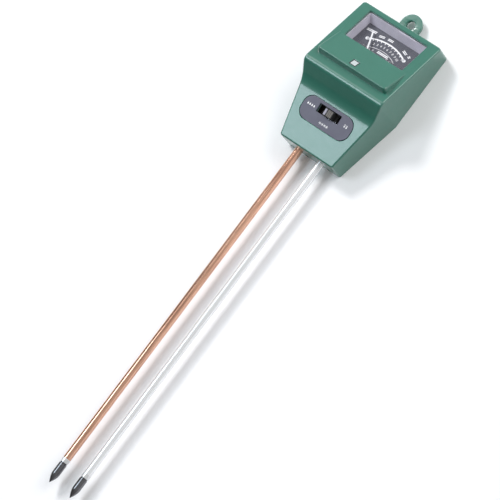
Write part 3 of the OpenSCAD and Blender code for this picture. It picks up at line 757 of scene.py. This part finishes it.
def drop(place, size, low, high):
    """A water drop with its point upwards."""
    points = []
    for k in range(15):
        a = math.radians(-210 + 240 * k / 14)
        points.append((place[0] + size * 0.55 * math.cos(a), place[1] + size * 0.55 * math.sin(a)))
    points.append((place[0], place[1] + size * 1.25))
    rings = [[(x, y, low) for x, y in points], [(x, y, high) for x, y in points]]
    return [loft("drop", rings, LOWER)]


def tube(place, size, low, high):
    """An outlined test tube with a filled lower half."""
    x, y = place
    w = size * 0.34
    wall = [(x - w, y + size), (x - w, y - size * 0.5)]
    for k in range(1, 8):
        a = math.radians(180 + 180 * k / 8)
        wall.append((x + w * math.cos(a), y - size * 0.5 + w * math.sin(a)))
    wall += [(x + w, y - size * 0.5), (x + w, y + size)]
    fill = [(x, y - size * 0.75), (x, y + size * 0.1)]
    return [
        strip("tube", wall, size * 0.16, low, high, LOWER),
        strip("fill", fill, size * 0.36, low, high, LOWER),
        strip("rim", [(x - w * 1.5, y + size), (x + w * 1.5, y + size)], size * 0.18,
              low, high, LOWER),
    ]


# what is printed, how many, where the first one stands, the pitch and the size
SWITCH_MARKS = [
    (drop, 4, (-12.8, 20.4), 1.3, 0.72),
    (sun, 4, (-1.4, 15.3), 1.45, 0.72),
    (tube, 2, (10.9, 20.5), 1.3, 0.8),
]


def make_switch_marks():
    """Drops, suns and tubes printed beside the switch's three places."""
    low = PLATE_T - PLATE_POCKET
    high = low + PRINT_T
    made = []
    for mark, count, (x, y), pitch, size in SWITCH_MARKS:
        for k in range(count):
            made += mark((x + pitch * k, y), size, low, high)
    return made


def make_switch_plate():
    """The plate with round ends and the knob's slot, whose upper edge is rounded."""
    plate = slab("switch_face", box_corners(PLATE_W, PLATE_H, PLATE_CORNER, 0, PLATE_MID),
                 edge_levels(-PLATE_POCKET, PLATE_T - PLATE_POCKET, 0.05, 0.2), LOWER)
    corners = box_corners(SLOT_W, SLOT_H, SLOT_CORNER, 0, SLOT_MID)
    top = PLATE_T - PLATE_POCKET
    cut(plate, slab("slot", corners,
                    [(-3, 0), (top - 0.25, 0), (top - 0.12, -0.05), (top - 0.04, -0.12),
                     (top, -0.25), (2, -0.25)], LOWER))
    return finish_mesh(plate)


def make_knob():
    """A slider block with a grip whose left flank slopes."""
    base = slab("slider", box_corners(SLIDER_W, SLIDER_H, SLIDER_CORNER, 0, SLOT_MID),
                edge_levels(SLIDER_TOP - SLIDER_T, SLIDER_TOP, 0.1, 0.1), LOWER)
    slope = (KNOB_W - KNOB_TOP_W) / KNOB_RISE
    rings = []
    levels = [(SLIDER_TOP - 0.3, 0), (-0.02, 0), (0.1, 0)]
    levels += edge_levels(KNOB_RISE - 0.5, KNOB_RISE, 0, 0.3)[1:]
    for z, d in levels:
        w = KNOB_W - slope * max(z, 0)
        corners = box_corners(w, KNOB_H, KNOB_CORNER, (KNOB_W - w) / 2, SLOT_MID)
        rings.append([(p.x, p.y, z) for p in rounded(inset(corners, d))])
    return finish_mesh(fused(base, loft("grip", rings, LOWER)))


KNOB_HIGHLIGHT_REACH = 1.6   # from the slot's middle to the ends of the painted highlight
KNOB_HIGHLIGHT_Z = (0.15, 1.35)


def make_knob_flank_highlight():
    """A pale patch on the knob's sloping flank: a painted highlight for the light that the flank
    reflects.
    """
    slope = (KNOB_W - KNOB_TOP_W) / KNOB_RISE
    near, far = KNOB_HIGHLIGHT_Z
    reach = KNOB_HIGHLIGHT_REACH
    points = []
    for lift in (0.0, PRINT_T):
        for z, y in ((near, -reach), (far, -reach), (far, reach), (near, reach)):
            points.append((-KNOB_W / 2 + slope * z - lift, SLOT_MID + y, z + lift * 0.5))
    faces = [(0, 1, 2, 3), (4, 5, 6, 7)] + [(k, (k + 1) % 4, 4 + (k + 1) % 4, 4 + k)
                                           for k in range(4)]
    return solid("knob_flank_highlight", points, faces, LOWER)


def make_knob_ribs():
    """Three worn grey ribs across the top of the knob."""
    ribs = []
    levels = [(KNOB_RISE - 0.3, 0), (KNOB_RISE, 0), (KNOB_RISE + RIB_RISE, 0.08)]
    for k in range(3):
        x = KNOB_W / 2 - KNOB_TOP_W / 2 + RIB_PITCH * (k - 1)
        corners = box_corners(RIB_W, KNOB_H - 0.7, 0.2, x, SLOT_MID)
        ribs.append(slab("rib", corners, levels, LOWER))
    return finish_mesh(merged("knob_ribs", ribs))


def make_sensor_frame():
    """A dark border printed on the sensor's window."""
    outer = SENSOR - 0.1
    frame_ring = slab("sensor_frame", box_corners(outer, outer, 0, SENSOR_X, -SENSOR_DOWN),
                      [(-SENSOR_SUNK, 0), (-SENSOR_SUNK + PRINT_T, 0)], HOOD)
    return cut(frame_ring, slab(
        "hole", box_corners(SENSOR_CLEAR, SENSOR_CLEAR, 0.3, SENSOR_X, -SENSOR_DOWN),
        [(-PAST, 0), (PAST, 0)], HOOD))


def make_needle():
    """The flat blade with its point and tail, and the hub that sits on the pivot."""
    where = NEEDLE @ moved(0, 0, NEEDLE_Z)
    hub = lathe("needle_hub", [
        (HUB_BORE_R, -0.4), (HUB_R - 0.1, -0.4), (HUB_R, -0.3), (HUB_R, 0.6), (HUB_R - 0.15, 0.7),
        (HUB_BORE_R, 0.7),
    ], where, 40)
    neck = NEEDLE_LEN - NEEDLE_POINT
    corners = [
        (-0.5, -NEEDLE_TAIL, 0.1), (0.5, -NEEDLE_TAIL, 0.1), (0.5, 0, 0.1), (0.38, neck, 0.1),
        (0, NEEDLE_LEN, 0), (-0.38, neck, 0.1), (-0.5, 0, 0.1),
    ]
    rings = []
    for z in (0, NEEDLE_T):
        rings.append([(p.x, p.y, z) for p in rounded(corners, 2)])
    blade = loft("needle_blade", rings, where)
    cut(blade, rod("hole", HUB_BORE_R, -PAST, PAST, where, 24))
    return finish_mesh(fused(blade, hub))


def make_tube(name, side):
    """A probe's tube, which is drawn down to a smaller radius where the head holds it."""
    length = PROBE_LEN - TIP_LEN
    profile = [
        (PROBE_BORE_R, -PROBE_IN), (PROBE_INNER_R, -PROBE_IN), (PROBE_INNER_R, 0),
        (PROBE_R - 0.05, 0), (PROBE_R, 0.05),
    ]
    for k in range(1, 24):
        profile.append((PROBE_R, length * k / 24))
    profile += [(PROBE_R, length - 0.2), (PROBE_R - 0.12, length), (PROBE_BORE_R, length)]
    return finish_mesh(lathe(name, profile, probe_frame(side), 72))


def make_tip(name, side):
    """A bullet-shaped tip with a spigot inside the tube."""
    shoulder = PROBE_LEN - TIP_LEN
    neck = shoulder + 0.6
    nose = PROBE_LEN - TIP_NOSE
    end = shoulder - TIP_SPIGOT
    profile = [
        (0, end), (PROBE_BORE_R - 0.2, end), (PROBE_BORE_R, end + 0.2),
        (PROBE_BORE_R, shoulder), (TIP_SHOULDER_R, shoulder), (TIP_SHOULDER_R, neck - 0.05),
        (PROBE_R - 0.15, neck), (PROBE_R, neck + 0.15),
    ]
    steps = 20
    for k in range(steps + 1):
        s = k / steps
        profile.append((PROBE_R * (1 - s ** TIP_BLUNTNESS), nose + TIP_NOSE * s))
    return finish_mesh(lathe(name, profile, probe_frame(side), 72, closed=False))


def make_tip_ring(name, side):
    """The bright ring crimped round the end of a tube, next to its tip."""
    end = PROBE_LEN - TIP_LEN
    inner, outer = PROBE_R - 0.2, PROBE_R + 0.05
    profile = [
        (inner, end - RING_LEN), (outer - 0.1, end - RING_LEN), (outer, end - RING_LEN + 0.1),
        (outer, end - 0.1), (outer - 0.1, end), (inner, end),
    ]
    return finish_mesh(lathe(name, profile, probe_frame(side), 72))


# ---------------------------------------------------------------- materials


RELIEF = 0.00006        # metres


def add(tree, kind, inputs=None, **settings):
    """A new node whose inputs are set to values or linked to other nodes' sockets."""
    made = tree.nodes.new(kind)
    for key, value in settings.items():
        setattr(made, key, value)
    for key, value in (inputs or {}).items():
        if isinstance(value, bpy.types.NodeSocket):
            tree.links.new(value, made.inputs[key])
        else:
            made.inputs[key].default_value = value
    return made


def rgb(*levels):
    """A linear colour from 0-255 screen levels."""
    out = []
    for level in levels:
        c = level / 255
        out.append(c / 12.92 if c <= 0.04045 else ((c + 0.055) / 1.055) ** 2.4)
    return (*out, 1.0)


def scaled(colour, k):
    """The colour made lighter or darker."""
    return (*[min(c * k, 1.0) for c in colour[:3]], 1.0)


def noise(tree, coords, size, detail=3.0, stretch=(1, 1, 1)):
    """Noise whose features are about `size` millimetres; stretch makes them longer."""
    place = add(tree, "ShaderNodeMapping", {
        "Vector": coords,
        "Scale": [1 / (size * MM * s) for s in stretch],
    })
    made = add(tree, "ShaderNodeTexNoise", {
        "Vector": place.outputs["Vector"], "Scale": 1.0, "Detail": detail, "Roughness": 0.6,
    })
    return made.outputs["Fac"]


def spread(tree, value, low, high, to_low=0.0, to_high=1.0):
    """The value mapped from low..high to to_low..to_high, and kept inside it."""
    made = add(tree, "ShaderNodeMapRange", {
        "Value": value, "From Min": low, "From Max": high, "To Min": to_low, "To Max": to_high,
    }, clamp=True)
    return made.outputs["Result"]


COLOUR_A, COLOUR_B, COLOUR_OUT = 6, 7, 2    # the mix node's sockets for colours


def mixed(tree, fac, a, b):
    """The colour between a and b, by the factor."""
    made = add(tree, "ShaderNodeMix", {"Factor": fac}, data_type="RGBA")
    for index, value in ((COLOUR_A, a), (COLOUR_B, b)):
        if isinstance(value, bpy.types.NodeSocket):
            tree.links.new(value, made.inputs[index])
        else:
            made.inputs[index].default_value = value
    return made.outputs[COLOUR_OUT]


def surface(name, colour, rough, metal=0.0, mottle=0.10, mottle_size=6.0, grain_size=0.35,
            grain=0.15, rough_range=0.08, scratch=0.12, stretch=(1, 1, 1), streak=None,
            streak_size=1.0, streak_amount=0.6, **constants):
    """A worn, grained surface: mottled colour, uneven gloss, scratches and a fine relief."""
    mat = bpy.data.materials.new(name)
    mat.use_nodes = True
    tree = mat.node_tree
    shader = tree.nodes["Principled BSDF"]
    coords = add(tree, "ShaderNodeTexCoord").outputs["Object"]
    cloud = noise(tree, coords, mottle_size, 4.0, stretch)
    tint = mixed(tree, spread(tree, cloud, 0.35, 0.65),
                 scaled(colour, 1 - mottle), scaled(colour, 1 + mottle))
    if streak:
        lines = noise(tree, coords, streak_size, 5.0, stretch)
        tint = mixed(tree, spread(tree, lines, 0.5, 0.72, 0.0, streak_amount), tint, streak)
    marks = noise(tree, coords, 0.5, 2.0, (1, 14, 1))
    worn = spread(tree, marks, 0.66, 0.74, 0.0, scratch)
    tint = mixed(tree, worn, tint, scaled(colour, 1.5))
    gloss = spread(tree, noise(tree, coords, 3.0, 4.0, stretch), 0.3, 0.7,
                   max(rough - rough_range, 0.02), rough + rough_range)
    fine = noise(tree, coords, grain_size, 3.0, stretch)
    relief = add(tree, "ShaderNodeBump", {
        "Strength": grain, "Distance": RELIEF, "Height": fine,
    })
    tree.links.new(tint, shader.inputs["Base Color"])
    tree.links.new(gloss, shader.inputs["Roughness"])
    tree.links.new(relief.outputs["Normal"], shader.inputs["Normal"])
    shader.inputs["Metallic"].default_value = metal
    for key, value in constants.items():
        shader.inputs[key.replace("_", " ")].default_value = value
    return mat


def clear(name, colour, rough, reflect, see=0.92):
    """A clear moulded pane: mostly transparent, with a soft reflection."""
    mat = bpy.data.materials.new(name)
    mat.use_nodes = True
    tree = mat.node_tree
    tree.nodes.remove(tree.nodes["Principled BSDF"])
    coords = add(tree, "ShaderNodeTexCoord").outputs["Object"]
    smear = noise(tree, coords, 4.0, 4.0, (1, 3, 1))
    gloss = add(tree, "ShaderNodeBsdfGlossy", {
        "Color": colour, "Roughness": spread(tree, smear, 0.3, 0.7, rough * 0.6, rough * 1.6),
    })
    through = add(tree, "ShaderNodeBsdfTransparent", {
        "Color": mixed(tree, spread(tree, smear, 0.4, 0.7, 0.0, 1.0),
                       (see, see, see, 1), (see * 0.96, see * 0.96, see * 0.97, 1)),
    })
    # the share that is reflected grows towards a grazing view, alike from both sides
    edge = add(tree, "ShaderNodeLayerWeight", {"Blend": 0.5})
    grazing = add(tree, "ShaderNodeMath", {0: edge.outputs["Facing"], 1: 5.0}, operation="POWER")
    share = spread(tree, grazing.outputs[0], 0.0, 1.0, reflect, 1.0)
    both = add(tree, "ShaderNodeMixShader", {
        "Fac": share, 1: through.outputs[0], 2: gloss.outputs[0],
    })
    tree.links.new(both.outputs[0], tree.nodes["Material Output"].inputs["Surface"])
    return mat


ALONG = (1, 40, 1)      # stretches a pattern along the probes
MATERIALS = {
    "green_housing": surface("green_housing", rgb(46, 107, 92), 0.34, mottle=0.03,
                             mottle_size=14.0, rough_range=0.04, grain=0.07, scratch=0.05,
                             Coat_Weight=0.75, Coat_Roughness=0.14),
    "green_cover": surface("green_cover", rgb(88, 136, 126), 0.45, mottle=0.06, grain=0.2),
    # near-white, lighter than the surround's own grey: painted light for the bright light on the
    # walls of the window's recess
    "grey_surround": surface("grey_surround", rgb(216, 212, 226), 0.5, mottle=0.05),
    "photocell": surface("photocell", rgb(60, 54, 70), 0.2, mottle=0.2, Coat_Weight=0.5),
    "dial_print": surface("dial_print", rgb(80, 81, 92), 0.6, mottle=0.06, grain=0.1),
    "white_print": surface("white_print", rgb(244, 244, 246), 0.6, mottle=0.03, grain=0.1),
    "steel_screw": surface("steel_screw", rgb(190, 192, 196), 0.28, 1.0),
    "nylon_frame": surface("nylon_frame", rgb(222, 219, 210), 0.5, mottle=0.05,
                           Subsurface_Weight=0.1),
    "iron_ring": surface("iron_ring", rgb(128, 130, 134), 0.4, 1.0, mottle=0.15),
    "magnet": surface("magnet", rgb(70, 70, 74), 0.5, 0.6, mottle=0.2),
    "brass_part": surface("brass_part", rgb(206, 168, 96), 0.3, 1.0, mottle=0.12),
    "steel_part": surface("steel_part", rgb(184, 187, 192), 0.25, 1.0),
    "bronze_spring": surface("bronze_spring", rgb(190, 128, 84), 0.3, 1.0, mottle=0.1),
    "copper_coil": surface("copper_coil", rgb(180, 92, 52), 0.3, 0.8, mottle=0.15,
                           stretch=(1, 1, 8), Coat_Weight=0.4),
    "white_needle": surface("white_needle", rgb(238, 238, 240), 0.45, mottle=0.03, grain=0.08),
    "grey_plate": surface("grey_plate", rgb(88, 88, 104), 0.5, mottle=0.05, grain=0.12),
    "worn_grey": surface("worn_grey", rgb(104, 99, 94), 0.5, mottle=0.12, grain=0.2),
    "bright_ring": surface("bright_ring", rgb(222, 223, 224), 0.3, 0.7, mottle=0.05,
                           stretch=(1, 20, 1)),
    # painted highlight: a pale colour for the light that the knob's sloping flank reflects
    "flank_highlight_paint": surface("flank_highlight_paint", rgb(170, 168, 184), 0.5, mottle=0.06, grain=0.1),
    "black_print": surface("black_print", rgb(26, 30, 32), 0.5, mottle=0.1, grain=0.1),
    "black_knob": surface("black_knob", rgb(46, 45, 46), 0.42, mottle=0.12, grain=0.2),
    "brown_base": surface("brown_base", rgb(46, 38, 34), 0.6, mottle=0.2, stretch=(8, 1, 1)),
    "tinned_tag": surface("tinned_tag", rgb(205, 205, 198), 0.35, 1.0, mottle=0.12),
    "green_board": surface("green_board", rgb(36, 98, 58), 0.35, mottle=0.15),
    "resistor_body": surface("resistor_body", rgb(202, 172, 126), 0.35, mottle=0.1),
    "copper_tube": surface("copper_tube", rgb(236, 186, 160), 0.2, 1.0, mottle=0.08,
                           stretch=ALONG, streak=rgb(122, 62, 44), streak_size=0.8,
                           streak_amount=1.0, grain=0.15, grain_size=0.25, scratch=0.3),
    "zinc_tube": surface("zinc_tube", rgb(244, 245, 247), 0.28, 0.6, mottle=0.02,
                         stretch=ALONG, grain=0.1, grain_size=0.25, scratch=0.2),
    "dark_tip": surface("dark_tip", rgb(96, 96, 100), 0.17, 0.85, mottle=0.15, scratch=0.3,
                        Coat_Weight=1.0, Coat_Roughness=0.08),
    "red_wire": surface("red_wire", rgb(190, 44, 34), 0.45, mottle=0.08),
    "black_wire": surface("black_wire", rgb(36, 36, 38), 0.45, mottle=0.1),
    "yellow_wire": surface("yellow_wire", rgb(222, 184, 52), 0.45, mottle=0.08),
    "white_wire": surface("white_wire", rgb(226, 226, 222), 0.45, mottle=0.05),
    "clear_window": clear("clear_window", (1, 1, 1, 1), 0.05, 0.025, 0.98),
    "clear_sensor": surface("clear_sensor", rgb(214, 222, 224), 0.22, mottle=0.05,
                            grain=0.05, scratch=0.03, Alpha=0.72, Coat_Weight=0.5),
}


def dressed(obj, slot, material=None):
    """The object with a slot of the record and its material, or another one."""
    obj.data.materials.clear()
    obj.data.materials.append(MATERIALS[material or slot])
    return obj


# ---------------------------------------------------------------- new pieces

# what makes a piece, its slot, the node that it replaces and the body that it moves with
NEW_PIECES = [
    (make_housing, "green_housing", "front_housing", "body"),
    (make_cover, "green_cover", "back_cover", "body"),
    (make_switch_plate, "grey_plate", "switch_plate", "body"),
    (make_knob, "black_knob", "switch_knob", "switch_slider"),
    (make_needle, "white_needle", "needle", "needle_assembly"),
    (lambda: make_tube("copper_tube", -1), "copper_tube", "copper_probe", "body"),
    (lambda: make_tube("zinc_tube", 1), "zinc_tube", "zinc_probe", "body"),
    (lambda: make_tip("copper_tip", -1), "dark_tip", "copper_probe_tip", "body"),
    (lambda: make_tip("zinc_tip", 1), "dark_tip", "zinc_probe_tip", "body"),
]
for make, slot, node, body in NEW_PIECES:
    piece = dressed(make(), slot)
    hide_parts(node)
    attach(piece, body)

dial_marks = dressed(merged("dial_marks", make_dial_marks()), "dial_print", "white_print")
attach(dial_marks, "body")
switch_marks = dressed(merged("switch_marks", make_switch_marks()), "grey_plate", "white_print")
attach(switch_marks, "body")
# a pale patch on the knob's flank, painted highlight for the light that the flank catches
knob_flank_highlight = dressed(make_knob_flank_highlight(), "black_knob", "flank_highlight_paint")
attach(knob_flank_highlight, "switch_slider")
knob_ribs = dressed(make_knob_ribs(), "black_knob", "worn_grey")
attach(knob_ribs, "switch_slider")
for ring_name, side in (("copper_tip_ring", -1), ("zinc_tip_ring", 1)):
    ring = dressed(make_tip_ring(ring_name, side), "zinc_tube", "bright_ring")
    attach(ring, "body")
sensor_frame = dressed(make_sensor_frame(), "clear_sensor", "black_print")
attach(sensor_frame, "body")

# ---------------------------------------------------------------- CAD nodes that stay

replaced = {node for _, _, node, _ in NEW_PIECES}
SOFT_EDGE = 0.00006     # metres
SOFT_ANGLE = math.radians(50)
finish_of = {s["node"]: s["material_slot"] for s in frame["record"]["subparts"]}
for name, obj in cad.items():
    if name in replaced:
        continue
    material = MATERIALS[finish_of[name]]
    if not obj.data.materials:
        obj.data.materials.append(material)
    for index in range(len(obj.data.materials)):
        obj.data.materials[index] = material
    if not name.endswith("_lead") and "_lead_" not in name:
        soften = obj.modifiers.new("soft_edges", "BEVEL")
        soften.width = SOFT_EDGE
        soften.segments = 2
        soften.limit_method = "ANGLE"
        soften.angle_limit = SOFT_ANGLE

# ---------------------------------------------------------------- floor, light and camera

FAR = 3000.0
floor = solid("floor", [(-FAR, -FAR, 0), (FAR, -FAR, 0), (FAR, FAR, 0), (-FAR, FAR, 0)],
              [(0, 1, 2, 3)])
floor_look = surface("floor_look", rgb(246, 246, 248), 0.7, mottle=0.004, mottle_size=200,
                     grain=0.02, grain_size=2, scratch=0.0)
floor.data.materials.append(floor_look)


def area_light(name, direction, distance, size, power, colour=(1, 1, 1)):
    """A round soft light that stands in a direction from the origin and faces it."""
    data = bpy.data.lights.new(name, "AREA")
    data.shape = "DISK"
    data.size = size
    data.energy = power
    data.color = colour
    lamp = bpy.data.objects.new(name, data)
    away = Vector(direction).normalized()
    lamp.location = away * distance
    lamp.rotation_mode = "QUATERNION"
    lamp.rotation_quaternion = away.to_track_quat("Z", "Y")
    bpy.context.scene.collection.objects.link(lamp)


area_light("key", (-0.64, 0.28, 0.71), distance=1.3, size=0.36, power=10)
area_light("back", (0.45, 0.66, 0.6), distance=1.5, size=1.0, power=10)
# stands where the face with the switch mirrors it towards the camera
area_light("sheen", (-0.446, -0.24, 0.863), distance=1.3, size=0.46, power=3.8,
           colour=(0.80, 0.91, 1.0))

# A pale studio room that is brighter behind the meter's top edge than before its base.
BRIGHT_SIDE = (0.58, 0.81, 0.05)
DIM, BRIGHT = 0.03, 0.8
world = bpy.data.worlds.new("studio")
world.use_nodes = True
room = world.node_tree
way = add(room, "ShaderNodeTexCoord").outputs["Generated"]
toward = add(room, "ShaderNodeVectorMath", {0: way, 1: BRIGHT_SIDE}, operation="DOT_PRODUCT")
room.nodes["Background"].inputs["Color"].default_value = (0.99, 0.99, 0.98, 1.0)
glow = spread(room, toward.outputs["Value"], -1.0, 1.0, DIM, BRIGHT)
room.links.new(glow, room.nodes["Background"].inputs["Strength"])
bpy.context.scene.world = world
bpy.context.scene.view_settings.view_transform = "Standard"

# The long lens looks down on the meter from its right, turned so that the probes run
# down to the left.
CAMERA_AT = (0.658423, -0.208955, 1.314439)
CAMERA_TURN = (19.9952, 18.3908, 39.1284)       # degrees
lens = bpy.data.cameras.new("camera")
lens.lens = 216
lens.sensor_width = 36
lens.clip_end = 20
camera = bpy.data.objects.new("camera", lens)
camera.location = CAMERA_AT
camera.rotation_euler = [math.radians(a) for a in CAMERA_TURN]
bpy.context.scene.collection.objects.link(camera)
bpy.context.scene.camera = camera
